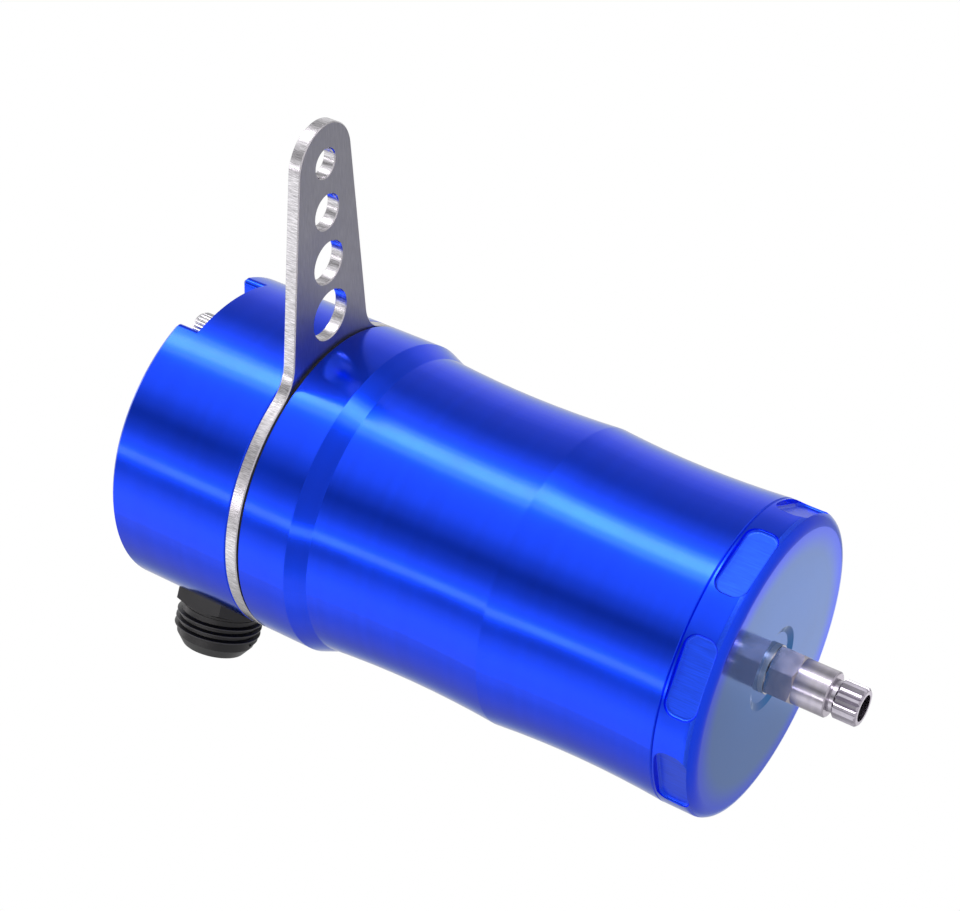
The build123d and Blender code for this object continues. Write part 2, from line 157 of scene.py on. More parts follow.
class CATCHCAN_ScrewSizes(bpy.types.PropertyGroup):
    """Sizes of one cap screw"""

    head_radius: length("Head radius", "Over the knurl's crests", 0.00425)
    head_height: length("Head height", "Above the notch floor", 0.005)
    knurl_depth: length("Knurl depth", "From crest to groove", 0.00017)
    knurl_count: IntProperty(name="Knurl count", description="Grooves round the head", default=32, min=8)
    socket_width: length("Socket width", "Across the flats", 0.004)
    socket_depth: length("Socket depth", "Depth of the hexagon socket", 0.0025)
    socket_lead: length("Socket lead", "Depth of the slope into the socket", 0.00025)
    lead_radius: length("Lead radius", "Outside of that slope", 0.00248)
    drill_radius: length("Drill radius", "Flat at the bottom of the drilled cone", 0.00075)
    drill_depth: length("Drill depth", "From the socket's floor to that flat", 0.0006)
    foot_bevel: length("Foot bevel", "In from the knurl at the head's foot", 0.0003)
    foot_run_out: length("Foot run-out", "Up the head to the knurl's lower run-out", 0.00025)
    foot_knurl: length("Foot knurl", "Up the head to the knurl's start", 0.0004)
    top_bevel: length("Top bevel", "In from the knurl at the head's top", 0.0005)
    top_run_out: length("Top run-out", "Down the head to the knurl's upper run-out", 0.00055)
    top_knurl: length("Top knurl", "Down the head to the knurl's end", 0.0008)
    run_out_depth: length("Run-out depth", "From the knurl's grooves in to both run-outs", 0.00006)
    shank_radius: length("Shank radius", "Thread's outside", 0.0025)
    shank_bevel: length("Shank bevel", "At the shank's end", 0.0003)
    edge_bevel: length("Edge bevel", "Width of the softened edges", 0.00006)


class CATCHCAN_BaseThreadSizes(bpy.types.PropertyGroup):
    """Sizes of the screw thread on the base's spigot"""

    core_radius: length("Core radius", "Spigot under the thread", 0.03295)
    height: length("Thread height", "Ridge above the spigot", 0.00042)
    pitch: length("Pitch", "Rise in one turn", 0.0015)
    crest_width: length("Crest width", "Flat on top of the ridge", 0.0003)
    start: length("Start", "From the seam up to the first turn", 0.0042)
    span: length("Span", "Threaded stretch", 0.0066)


class CATCHCAN_Stage(bpy.types.PropertyGroup):
    """Floor, light and camera"""

    floor_drop: length("Floor drop", "From the can's lowest point to the floor", 0.45)
    floor_radius: length("Floor radius", "Half the floor's width", 5.0)
    floor_grey: colour("Floor grey", "Pale floor under the can", (0.8, 0.8, 0.8))
    lamp_distance: length("Lamp distance", "From the can's axis to the upright lamps", 1.2)
    lamp_height: length("Lamp height", "Height of the upright lamps", 2.2)
    card_azimuth: FloatProperty(name="Card azimuth", description="Where the low card stands round the can",
                                default=radians(-137.5), subtype="ANGLE")
    card_distance: length("Card distance", "From the can's axis to the low card", 1.0)
    card_width: length("Card width", "Width of the low card that the base's end reflects", 0.13)
    card_rise: length("Card rise", "Height of the low card's middle above the floor", 0.19)
    card_gap: length("Card gap", "From the floor up to the low card", 0.01)
    card_level: level("Card level", "Brightness of the low card", 0.5)
    overhead_side: length("Overhead side", "Side of the square box above the can", 1.4)
    overhead_level: level("Overhead level", "Brightness of that box", 1.1)
    fill_level: share("Fill level", "Brightness of the room for matt surfaces", 0.6)
    focal_length: FloatProperty(name="Focal length", description="Camera lens in millimetres",
                                default=86.25, subtype="DISTANCE_CAMERA")


# The base cap is faced off up to this height above its end and out to this share of its rim
END_DEPTH = 0.0015
END_SHARE = 0.85

# Its grips lie between two heights above the end, at least this deep under the rim and this far
# from the axis
GRIP_LOW = 0.0005
GRIP_HIGH = 0.0102
GRIP_SINK = 0.0012
GRIP_NEAREST = 0.03

# A normal points up or down by at least this much on a flat end, and on the plate's two faces
END_TILT = 0.5
PLATE_TILT = 0.95

# Sides of a turned piece, steps in one turn of either thread, and steps across one knurl groove
ROUND_SIDES = 96
HOSE_THREAD_STEPS = 72
BASE_THREAD_STEPS = 120
KNURL_STEPS = 6

# Wound ridge: a flank's run and its foot's depth as shares of its height, its fading ends as a
# share of the pitch, and the least share of the height that is kept there
FLANK_RUN = 0.62
FOOT_SINK = 0.3
FADE_TURN = 0.5
LEAST_RIDGE = 0.02

# How far under the crest radius a face of the hose thread still counts as its crest, which gets a paler
# colour as a painted glint
CREST_MARGIN = 0.00005

# Power of a knurl's wave: 1 is even, and less makes its crests narrower
KNURL_POWER = 0.6

# Vertices closer than this become one, and edges sharper than these angles stay sharp or are softened
MERGE_DISTANCE = 1e-7
SHARP_ANGLE = radians(32)
BEVEL_ANGLE = radians(38)

# Streaks are drawn out along the axis whose share is small
ALONG_ARM = (1.0, 0.05, 1.0)
THROUGH_PLATE = (1.0, 1.0, 0.08)
ALONG_CAN = (1.0, 1.0, 0.04)

# Broad bands of a turned surface for each of its rings
BANDS_PER_RING = 0.03

# Sockets of a Mix node that mixes colours
MIX_SHARE, MIX_FIRST, MIX_SECOND, MIX_RESULT = 0, 6, 7, 2

# Room seen in the metal: azimuth in degrees and brightness of the soft grey and white walls
ROOM = ((-180, 0.9), (-150, 0.7), (-141, 0.65), (-136, 1.25), (-130, 0.8), (-120, 0.6), (-95, 0.5),
        (-62, 0.75), (-45, 1.15), (-30, 1.35), (-18, 1.0), (-8, 0.5), (12, 1.1), (24, 0.5), (34, 0.26),
        (44, 0.6), (56, 1.05), (76, 1.2), (107, 1.2), (118, 0.75), (129, 0.42), (150, 0.55),
        (168, 0.8), (180, 0.9))

# Upright strip lamps: name, azimuth in degrees, width and brightness in a mirror
STRIPS = (("key_strip", 91, 0.42, 2.5), ("key_core", 92, 0.2, 4.6), ("narrow_strip", 4, 0.11, 3.2))

# Square box above the can: its middle, and the way that its back points
OVERHEAD_PLACE = Vector((0.2, 0.2, 1.7))
OVERHEAD_BACK = Vector((0.1, 0.1, 1))

# Colour of the lamps, a little rosy beside the walls
LAMP_TINT = (1.05, 0.98, 1.03)

# Camera as the photograph was taken: place and the axes of its frame
CAMERA_PLACE = Vector((0.34965, 0.35524, -0.12004))
CAMERA_RIGHT = Vector((-0.54347, 0.01508, -0.8393))
CAMERA_UP = Vector((-0.51666, 0.782, 0.34861))
CAMERA_BACK = Vector((0.66159, 0.62309, -0.4172))
SENSOR_WIDTH = 36
CLIP_NEAR = 0.05
CLIP_FAR = 50


def finishes():
    """Colours and surface sizes as the sidebar has them."""
    return bpy.context.scene.catchcan_finishes


def feed(tree, node, inputs):
    """Links or sets a node's sockets, given as (socket, value or output) pairs."""
    for socket, value in inputs:
        if isinstance(value, bpy.types.NodeSocket):
            tree.links.new(value, node.inputs[socket])
        else:
            node.inputs[socket].default_value = value
    return node


def add(tree, kind, inputs=(), **values):
    """Adds one shader node with its settings and its sockets."""
    node = tree.nodes.new("ShaderNode" + kind)
    for name, value in values.items():
        setattr(node, name, value)
    return feed(tree, node, inputs)


def maths(tree, operation, *values):
    """Result of one math node."""
    return add(tree, "Math", list(enumerate(values)), operation=operation).outputs[0]


def new_group(name, inputs, outputs):
    """Empty shader node group with its sockets and end nodes."""
    group = bpy.data.node_groups.new(name, "ShaderNodeTree")
    for label, kind, default in inputs:
        socket = group.interface.new_socket(label, in_out="INPUT", socket_type=kind)
        if default is not None:
            socket.default_value = default
    for label, kind in outputs:
        group.interface.new_socket(label, in_out="OUTPUT", socket_type=kind)
    return group, group.nodes.new("NodeGroupInput"), group.nodes.new("NodeGroupOutput")


def lathe_group():
    """Fine rings round Z, on sides and on flat ends alike."""
    group, start, end = new_group("lathe_rings",
                                  [("Place", "NodeSocketVector", None), ("Pitch", "NodeSocketFloat", 0.0001)],
                                  [("Height", "NodeSocketFloat"), ("Band", "NodeSocketFloat")])
    place = add(group, "SeparateXYZ", [(0, start.outputs["Place"])])
    reach = maths(group, "SQRT", maths(group, "ADD",
                                       maths(group, "MULTIPLY", place.outputs[0], place.outputs[0]),
                                       maths(group, "MULTIPLY", place.outputs[1], place.outputs[1])))
    along = maths(group, "DIVIDE", maths(group, "ADD", reach, place.outputs[2]), start.outputs["Pitch"])
    fine = add(group, "TexNoise", [("W", along), ("Scale", 1.0), ("Detail", 3.0)], noise_dimensions="1D")
    slow = maths(group, "MULTIPLY", along, BANDS_PER_RING)
    broad = add(group, "TexNoise", [("W", slow), ("Scale", 1.0), ("Detail", 2.0)], noise_dimensions="1D")
    group.links.new(fine.outputs[0], end.inputs["Height"])
    group.links.new(broad.outputs[0], end.inputs["Band"])
    return group


def streak_group():
    """Straight brushed or milled lines, drawn out along one axis."""
    group, start, end = new_group("straight_streaks",
                                  [("Place", "NodeSocketVector", None),
                                   ("Stretch", "NodeSocketVector", (1.0, 1.0, 1.0)),
                                   ("Width", "NodeSocketFloat", 0.0002)],
                                  [("Height", "NodeSocketFloat")])
    thin = add(group, "VectorMath", [(0, start.outputs["Place"]), (1, start.outputs["Stretch"])],
               operation="MULTIPLY")
    scale = maths(group, "DIVIDE", 1.0, start.outputs["Width"])
    noise = add(group, "TexNoise", [("Vector", thin.outputs[0]), ("Scale", scale), ("Detail", 3.0),
                                    ("Roughness", 0.6)])
    group.links.new(noise.outputs[0], end.inputs["Height"])
    return group


def smudge_group():
    """Soft, uneven patches that make a surface a little duller here and there."""
    group, start, end = new_group("smudges",
                                  [("Place", "NodeSocketVector", None), ("Size", "NodeSocketFloat", 0.02),
                                   ("Clean", "NodeSocketFloat", 0.2), ("Dull", "NodeSocketFloat", 0.3)],
                                  [("Roughness", "NodeSocketFloat")])
    noise = add(group, "TexNoise", [("Vector", start.outputs["Place"]),
                                    ("Scale", maths(group, "DIVIDE", 1.0, start.outputs["Size"])),
                                    ("Detail", 5.0)])
    between = add(group, "MapRange", [("Value", noise.outputs[0]), ("From Min", 0.35), ("From Max", 0.7),
                                      ("To Min", start.outputs["Clean"]), ("To Max", start.outputs["Dull"])])
    group.links.new(between.outputs[0], end.inputs["Roughness"])
    return group


GROUPS = {"lathe": lathe_group, "streaks": streak_group, "smudges": smudge_group}


def effect(tree, name, inputs):
    """Places a shared effect, building its group the first time."""
    key = "catchcan_" + name
    if key not in bpy.data.node_groups:
        GROUPS[name]().name = key
    return feed(tree, add(tree, "Group", node_tree=bpy.data.node_groups[key]), inputs)


def new_material(name, base, metallic, **constants):
    """Principled material, its tree, its shader and its object coordinates."""
    material = bpy.data.materials.new(name)
    material.use_nodes = True
    tree = material.node_tree
    shader = tree.nodes["Principled BSDF"]
    shader.inputs["Base Color"].default_value = (*base, 1)
    shader.inputs["Metallic"].default_value = metallic
    for label, value in constants.items():
        shader.inputs[label.replace("_", " ")].default_value = value
    place = add(tree, "TexCoord").outputs["Object"]
    return material, tree, shader, place


def bump(tree, shader, height, depth):
    """Lets a height between 0 and 1 dent the surface by the depth."""
    node = add(tree, "Bump", [("Height", height), ("Strength", 1.0), ("Distance", depth)])
    tree.links.new(node.outputs[0], shader.inputs["Normal"])


def roughen(tree, shader, place, clean, dull, size=0.02):
    """Roughness between clean and dull in smudges of the given size."""
    made = effect(tree, "smudges", [("Place", place), ("Clean", clean), ("Dull", dull), ("Size", size)])
    tree.links.new(made.outputs[0], shader.inputs["Roughness"])


def tint(tree, shader, base, mask, low, high):
    """Lets a mask lighten and darken the base colour between two levels."""
    shade = add(tree, "MapRange", [("Value", mask), ("From Min", 0.3), ("From Max", 0.7),
                                   ("To Min", low), ("To Max", high)])
    scaled = add(tree, "VectorMath", [(0, base), ("Scale", shade.outputs[0])], operation="SCALE")
    tree.links.new(scaled.outputs[0], shader.inputs["Base Color"])


def turned_blue(name, base, clean, dull, coat_index):
    """Dyed, sealed and turned aluminium: rings from the tool under a clear oxide coat."""
    look = finishes()
    material, tree, shader, place = new_material(name, base, metallic=1.0, Coat_Weight=1.0,
                                                 Coat_Roughness=0.12, Coat_IOR=coat_index,
                                                 Specular_Tint=(*look.blue_slant, 1), Anisotropic=0.5,
                                                 Anisotropic_Rotation=0.25)
    around = add(tree, "Tangent", direction_type="RADIAL", axis="Z")
    tree.links.new(around.outputs[0], shader.inputs["Tangent"])
    rings = effect(tree, "lathe", [("Place", place), ("Pitch", look.turning_pitch)])
    tint(tree, shader, base, rings.outputs["Band"], low=0.97, high=1.02)
    roughen(tree, shader, place, clean, dull)
    bump(tree, shader, rings.outputs["Height"], look.turning_depth)
    return material


def end_blue_painted_reflection(rim):
    """Faced-off end of the base, painted paler and greyer than the sides as a reflection, and fading into the
    sides' blue towards the rim.
    """
    look = finishes()
    material = turned_blue("end_blue_painted_reflection", look.blue_end_painted_pale, clean=0.16, dull=0.24, coat_index=look.face_coat)
    tree = material.node_tree
    shader = tree.nodes["Principled BSDF"]
    flat = add(tree, "VectorMath", [(0, add(tree, "TexCoord").outputs["Object"]), (1, (1, 1, 0))],
               operation="MULTIPLY")
    reach = add(tree, "VectorMath", [(0, flat.outputs[0])], operation="LENGTH")
    fade = add(tree, "MapRange", [("Value", reach.outputs["Value"]), ("From Min", look.fade_start * rim),
                                  ("From Max", look.fade_end * rim)], interpolation_type="SMOOTHSTEP")
    banded = shader.inputs["Base Color"].links[0].from_socket
    faded = add(tree, "Mix", [(MIX_SHARE, fade.outputs[0]), (MIX_FIRST, banded),
                              (MIX_SECOND, (*look.blue_dye, 1))], data_type="RGBA")
    tree.links.new(faded.outputs[MIX_RESULT], shader.inputs["Base Color"])
    coat = add(tree, "MapRange", [("Value", fade.outputs[0]), ("To Min", look.face_coat),
                                  ("To Max", look.side_coat)])
    tree.links.new(coat.outputs[0], shader.inputs["Coat IOR"])
    return material


def milled_blue():
    """Dyed aluminium with the cutter's lines up the can."""
    look = finishes()
    material, tree, shader, place = new_material("milled_blue", look.blue_milled, metallic=1.0,
                                                 Coat_Weight=0.2, Coat_Roughness=0.25, Coat_IOR=1.5)
    lines = effect(tree, "streaks", [("Place", place), ("Stretch", ALONG_CAN), ("Width", look.milling_width)])
    tint(tree, shader, look.blue_milled, lines.outputs[0], low=0.8, high=1.15)
    roughen(tree, shader, place, clean=0.38, dull=0.5)
    bump(tree, shader, lines.outputs[0], look.brush_depth)
    return material


def brushed(name, base, stretch, clean, dull, low, high):
    """Brushed steel with its lines drawn out along one axis."""
    look = finishes()
    material, tree, shader, place = new_material(name, base, metallic=1.0)
    lines = effect(tree, "streaks", [("Place", place), ("Stretch", stretch), ("Width", look.brush_width)])
    tint(tree, shader, base, lines.outputs[0], low, high)
    roughen(tree, shader, place, clean, dull)
    bump(tree, shader, lines.outputs[0], look.brush_depth)
    return material


def black_anodised(name, base, clean, dull):
    """Black dye on a finely grained, almost matt surface."""
    look = finishes()
    material, tree, shader, place = new_material(name, base, metallic=0.0, Specular_IOR_Level=0.35,
                                                 Coat_Weight=0.12, Coat_Roughness=0.25)
    grain = effect(tree, "streaks", [("Place", place), ("Width", look.brush_width)])
    tint(tree, shader, base, grain.outputs[0], low=0.7, high=1.3)
    roughen(tree, shader, place, clean, dull, size=0.006)
    bump(tree, shader, grain.outputs[0], look.turning_depth)
    return material


def plated(name, base, clean, dull):
    """Bright metal over turning marks."""
    look = finishes()
    material, tree, shader, place = new_material(name, base, metallic=1.0)
    rings = effect(tree, "lathe", [("Place", place), ("Pitch", look.turning_pitch)])
    tint(tree, shader, base, rings.outputs["Band"], low=0.88, high=1.06)
    roughen(tree, shader, place, clean, dull, size=0.004)
    bump(tree, shader, rings.outputs["Height"], look.plating_depth)
    return material


def soft_rubber():
    """Moulded rubber, matt and finely grained."""
    look = finishes()
    material, tree, shader, place = new_material("black_rubber", look.rubber, metallic=0.0)
    grain = effect(tree, "streaks", [("Place", place), ("Width", look.rubber_grain)])
    tint(tree, shader, look.rubber, grain.outputs[0], low=0.75, high=1.3)
    roughen(tree, shader, place, clean=0.5, dull=0.68, size=0.008)
    bump(tree, shader, grain.outputs[0], look.rubber_depth)
    return material


def knitted_pad():
    """Crimped wire: fine crossed ripples, darkened in their troughs as painted shade between the wires."""
    look = finishes()
    material, tree, shader, place = new_material("knitted_steel", look.knitted_wire, metallic=1.0,
                                                 Roughness=0.4)
    waves = add(tree, "TexWave", [("Vector", place), ("Scale", 420.0), ("Distortion", 6.0), ("Detail", 2.0),
                                  ("Detail Scale", 1.5)])
    # The ripples' troughs fall to 0.15 of the wire's colour: painted shade between the wires
    tint(tree, shader, look.knitted_wire, waves.outputs["Fac"], low=0.15, high=1.2)
    bump(tree, shader, waves.outputs["Fac"], look.wire_depth)
    return material


def blackened_spring():
    """Dark oxide on spring steel."""
    look = finishes()
    material, tree, shader, place = new_material("spring_steel", look.spring_steel, metallic=0.8)
    grain = effect(tree, "streaks", [("Place", place), ("Width", look.brush_width)])
    tint(tree, shader, look.spring_steel, grain.outputs[0], low=0.7, high=1.4)
    roughen(tree, shader, place, clean=0.35, dull=0.5, size=0.01)
    return material


def dress(node, materials, choose=None):
    """Gives a packed node its finishes; choose picks the slot of each face."""
    mesh = nodes[node].data
    mesh.materials.clear()
    for material in materials:
        mesh.materials.append(material)
    for face in mesh.polygons:
        face.material_index = choose(face) if choose else 0


def value_at(size, angle):
    """Size at an angle, whether it is a number or a function."""
    return size(angle) if callable(size) else size


def loft(bm, rings, segments):
    """Skin through rings of (reach, height) round Z, each a number or a function of the angle."""
    edges = None
    made = []
    for reach, height in rings:
        if edges is None:
            verts = bmesh.ops.create_circle(bm, segments=segments, radius=1.0)["verts"]
            edges = list({edge for vert in verts for edge in vert.link_edges})
        else:
            grown = bmesh.ops.extrude_edge_only(bm, edges=edges)["geom"]
            verts = [item for item in grown if isinstance(item, bmesh.types.BMVert)]
            edges = [item for item in grown if isinstance(item, bmesh.types.BMEdge)]
        for vert in verts:
            angle = atan2(vert.co.y, vert.co.x)
            out = value_at(reach, angle)
            vert.co = (out * cos(angle), out * sin(angle), value_at(height, angle))
        made.append(edges)
    return made


def closed_loft(bm, rings, segments):
    """Loft whose last ring runs back into its first, as in a tube."""
    loft(bm, [*rings, rings[0]], segments)


def capped_loft(bm, rings, segments):
    """Loft whose first and last rings are closed by a flat face."""
    made = loft(bm, rings, segments)
    bmesh.ops.edgeloop_fill(bm, edges=made[0])
    bmesh.ops.edgeloop_fill(bm, edges=made[-1])


def six_sides(width):
    """Reach of a hexagon's outline at an angle, with a corner on X."""
    def reach(angle):
        return width / 2 / cos(angle % (pi / 3) - pi / 6)
    return reach


def nut_rings(width, low, high):
    """Rings of a hexagon whose upper corners are turned off at thirty degrees."""
    flat = width / 2
    reach = six_sides(width)

    def shoulder(angle):
        return high - (reach(angle) - flat) * tan(pi / 6)

    return [(reach, low), (reach, shoulder), (flat, high)]


def wind_thread(bm, core, height, pitch, crest_width, low, high, steps):
    """Right-hand ridge wound up Z from low to high, fading in and out at its ends."""
    foot = height * FLANK_RUN
    sunk = core - height * FOOT_SINK
    outline = [(sunk, -foot - crest_width / 2), (core + height, -crest_width / 2),
               (core + height, crest_width / 2), (sunk, foot + crest_width / 2)]
    turns = (high - low - 2 * foot - crest_width) / pitch
    start = low + foot + crest_width / 2
    verts = [bm.verts.new((reach, 0, start + rise)) for reach, rise in outline]
    edges = [bm.edges.new((verts[i], verts[(i + 1) % len(verts)])) for i in range(len(verts))]
    face = bm.faces.new(verts)
    count = int(turns * steps)
    old = set(bm.verts) - set(verts)
    bmesh.ops.spin(bm, geom=[*verts, *edges, face], cent=(0, 0, 0), axis=(0, 0, 1),
                   dvec=(0, 0, pitch / steps), angle=2 * pi * count / steps, steps=count)
    fade = FADE_TURN * pitch
    for vert in set(bm.verts) - old:
        reach = hypot(vert.co.x, vert.co.y)
        if reach > core:
            room = min(vert.co.z - start, start + turns * pitch - vert.co.z) + crest_width
            kept = core + (reach - core) * min(1.0, max(LEAST_RIDGE, room / fade))
            vert.co.x *= kept / reach
            vert.co.y *= kept / reach


def place_object(name, data):
    """Object of a mesh, lamp or camera, in the scene."""
    placed = bpy.data.objects.new(name, data)
    bpy.context.scene.collection.objects.link(placed)
    return placed


def mesh_object(name, bm, materials):
    """Object made of a bmesh, which is freed."""
    mesh = bpy.data.meshes.new(name)
    bm.to_mesh(mesh)
    bm.free()
    for material in materials:
        mesh.materials.append(material)
    return place_object(name, mesh)


def finish_piece(name, bm, place, materials, body, bevel=0.0):
    """Turns a bmesh into a piece in its place, with smooth sides and, given a bevel, softened edges."""
    bmesh.ops.remove_doubles(bm, verts=bm.verts, dist=MERGE_DISTANCE)
    bmesh.ops.recalc_face_normals(bm, faces=bm.faces)
    piece = mesh_object(name, bm, materials)
    piece.data.transform(place)
    piece.data.shade_smooth()
    piece.data.set_sharp_from_angle(angle=SHARP_ANGLE)
    if bevel:
        softened = piece.modifiers.new("softened_edges", "BEVEL")
        softened.width = bevel
        softened.segments = 2
        softened.limit_method = "ANGLE"
        softened.angle_limit = BEVEL_ANGLE
        softened.harden_normals = True
    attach(piece, body)
    return piece


def port_frame(mount):
    """Place of a port's frame: Z out along the mount's axis, X up the can."""
    out = Vector(mount["axis"])
    up = Vector((0, 0, 1))
    turn = Matrix((up, out.cross(up), out)).transposed()
    return Matrix.Translation(Vector(mount["pos_m"])) @ turn.to_4x4()


class CATCHCAN_OT_blue_body(bpy.types.Operator):
    """Dye the cap, barrel and base blue, with turned sides, a faced end painted paler as a reflection, and
    milled grips
    """

    bl_idname = "catchcan.blue_body"
    bl_label = "Blue body"

    def execute(self, context):
        look = context.scene.catchcan_finishes
        turned = turned_blue("turned_blue", look.blue_dye, clean=0.2, dull=0.27, coat_index=look.side_coat)
        milled = milled_blue()
        for node in ("top_cap", "barrel"):
            dress(node, [turned])
        low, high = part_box("base_cap")
        rim = high.x
        faced = end_blue_painted_reflection(rim)

        def region(face):
            middle, normal = face.center, face.normal
            rise = middle.z - low.z
            reach = hypot(middle.x, middle.y)
            if normal.z < -END_TILT and rise < END_DEPTH and reach < END_SHARE * rim:
                return 1
            outward = middle.x * normal.x + middle.y * normal.y
            on_side = GRIP_LOW < rise < GRIP_HIGH and abs(normal.z) < END_TILT
            if on_side and GRIP_NEAREST < outward < rim - GRIP_SINK:
                return 2
            return 0

        dress("base_cap", [turned, faced, milled], region)
        return {"FINISHED"}


class CATCHCAN_OT_bracket(bpy.types.Operator):
    """Brush the bracket's faces along its arm, darkened with painted shade, and brighten its cut edges and
    hole walls with a painted highlight
    """

    bl_idname = "catchcan.bracket"
    bl_label = "Mounting bracket"

    def execute(self, context):
        look = context.scene.catchcan_finishes
        # Painted shade on the faces and a painted highlight on the edges; the edges' streaks, dark down to
        # 0.45 of their colour, are partly brushed grain and partly painted reflection
        shaded_face_finish = brushed("plate_face_painted_shade", look.plate_face_painted_shade, ALONG_ARM, clean=0.34, dull=0.46,
                              low=0.86, high=1.12)
        lit_edge_finish = brushed("plate_edge_painted_highlight", look.plate_edge_painted_highlight, THROUGH_PLATE, clean=0.2, dull=0.3,
                              low=0.45, high=1.2)
        dress("mounting_bracket", [shaded_face_finish, lit_edge_finish],
              lambda face: int(abs(face.normal.z) < PLATE_TILT))
        return {"FINISHED"}


class CATCHCAN_OT_hose_fittings(bpy.types.Operator):
    """Build both hose fittings with their hexagon, wound thread and flared nose"""

    bl_idname = "catchcan.hose_fittings"
    bl_label = "Hose fittings"

    def execute(self, context):
        look = context.scene.catchcan_finishes
        size = context.scene.catchcan_fitting
        blacks = [black_anodised("black_anodised", look.black_dye, clean=0.3, dull=0.42),
                  black_anodised("black_crest_painted_glint", look.black_crest_painted_glint, clean=0.32, dull=0.45)]
        for side in ("inlet", "outlet"):
            place = port_frame(mounts[side + "_hose_thread"])
            piece = finish_piece(side + "_hose_fitting", self.fitting(size), place, blacks, "can",
                                 size.edge_bevel)
            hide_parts(side + "_fitting")
        return {"FINISHED"}

    def fitting(self, size):
        """Fitting in its port's frame, with Z = 0 halfway along thread and relief."""
        half = (size.relief_length + size.thread_length) / 2
        seat = -half - size.hex_height
        thread_low = -half + size.relief_length
        tip = half + size.nose_length
        nose_foot = size.root_radius - size.nose_step
        nose_tip = nose_foot + size.land_fall - size.nose_length * tan(size.nose_angle)
        stub_low = seat - size.stub_length
        nut_high = seat + size.hex_height
        bm = bmesh.new()
        closed_loft(bm, [(size.bore_radius, stub_low), (size.stub_radius, stub_low),
                         (size.stub_radius, seat), (size.relief_radius, seat),
                         (size.relief_radius, thread_low), (size.root_radius, thread_low),
                         (size.root_radius, half), (nose_foot, half), (nose_foot, half + size.nose_land),
                         (nose_tip, tip), (size.bore_radius, tip)], ROUND_SIDES)
        nut = nut_rings(size.hex_width, seat, nut_high)
        closed_loft(bm, [(size.bore_radius, seat), *nut, (size.bore_radius, nut_high)], ROUND_SIDES)
        plain = set(bm.faces)
        wind_thread(bm, size.root_radius, size.crest_radius - size.root_radius, size.thread_pitch,
                    size.crest_width, thread_low, half, HOSE_THREAD_STEPS)
        # Crest faces get the paler second colour: a painted glint
        glint_reach = size.crest_radius - CREST_MARGIN
        for face in set(bm.faces) - plain:
            if min(hypot(vert.co.x, vert.co.y) for vert in face.verts) > glint_reach:
                face.material_index = 1
        return bm


class CATCHCAN_OT_cap_screws(bpy.types.Operator):
    """Build the cap screws with knurled heads and hexagon sockets"""

    bl_idname = "catchcan.cap_screws"
    bl_label = "Cap screws"

    def execute(self, context):
        look = context.scene.catchcan_finishes
        size = context.scene.catchcan_screw
        finish = plated("bright_steel", look.bright_steel, clean=0.2, dull=0.32)
        for number in (1, 2, 3):
            node = f"cap_screw_{number}"
            low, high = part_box(node)
            place = Matrix.Translation(((low.x + high.x) / 2, (low.y + high.y) / 2, low.z))
            piece = finish_piece(node + "_knurled", self.screw(size, high.z - low.z), place, [finish], "can",
                                 size.edge_bevel)
            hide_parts(node)
        return {"FINISHED"}

    def screw(self, size, total):
        """Screw that stands on Z = 0 with its head at the top."""
        crest = size.head_radius
        neck = total - size.head_height

        def knurl(angle):
            wave = (1 - cos(angle * size.knurl_count)) / 2
            return crest - size.knurl_depth * wave ** KNURL_POWER

        run_out = crest - size.knurl_depth - size.run_out_depth
        socket = six_sides(size.socket_width)
        floor = total - size.socket_depth
        rings = [(size.shank_radius - size.shank_bevel, 0), (size.shank_radius, size.shank_bevel),
                 (size.shank_radius, neck), (crest - size.foot_bevel, neck),
                 (run_out, neck + size.foot_run_out), (knurl, neck + size.foot_knurl),
                 (knurl, total - size.top_knurl), (run_out, total - size.top_run_out),
                 (crest - size.top_bevel, total), (size.lead_radius, total),
                 (socket, total - size.socket_lead), (socket, floor),
                 (size.drill_radius, floor - size.drill_depth)]
        bm = bmesh.new()
        capped_loft(bm, rings, size.knurl_count * KNURL_STEPS)
        return bm


class CATCHCAN_OT_drain_valve(bpy.types.Operator):
    """Plate the drain valve's body and knob, and dress its washer"""

    bl_idname = "catchcan.drain_valve"
    bl_label = "Drain valve"

    def execute(self, context):
        look = context.scene.catchcan_finishes
        nickel = plated("nickel_plate", look.nickel, clean=0.16, dull=0.27)
        dress("drain_valve_body", [nickel])
        dress("drain_valve_stem", [nickel])
        dress("drain_valve_washer", [plated("soft_washer", look.plain_metal, clean=0.3, dull=0.45)])
        return {"FINISHED"}


class CATCHCAN_OT_base_thread(bpy.types.Operator):
    """Wind the screw thread round the base's spigot"""

    bl_idname = "catchcan.base_thread"
    bl_label = "Base thread"

    def execute(self, context):
        size = context.scene.catchcan_base_thread
        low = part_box("barrel")[0].z + size.start
        bm = bmesh.new()
        wind_thread(bm, size.core_radius, size.height, size.pitch, size.crest_width,
                    low, low + size.span, BASE_THREAD_STEPS)
        finish = bpy.data.materials["turned_blue"]
        finish_piece("base_thread", bm, Matrix.Identity(4), [finish], "base")
        return {"FINISHED"}


class CATCHCAN_OT_inner_pieces(bpy.types.Operator):
    """Dress the seals, baffles, mesh pad and retaining rings"""

    bl_idname = "catchcan.inner_pieces"
    bl_label = "Seals and inner pieces"

    def execute(self, context):
        look = context.scene.catchcan_finishes
        inner = {"black_rubber": soft_rubber(), "knitted_steel": knitted_pad(),
                 "plain_aluminium": plated("plain_aluminium", look.plain_metal, clean=0.28, dull=0.42),
                 "spring_steel": blackened_spring()}
        for part in frame["record"]["subparts"]:
            if part["material_slot"] in inner:
                dress(part["node"], [inner[part["material_slot"]]])
        return {"FINISHED"}


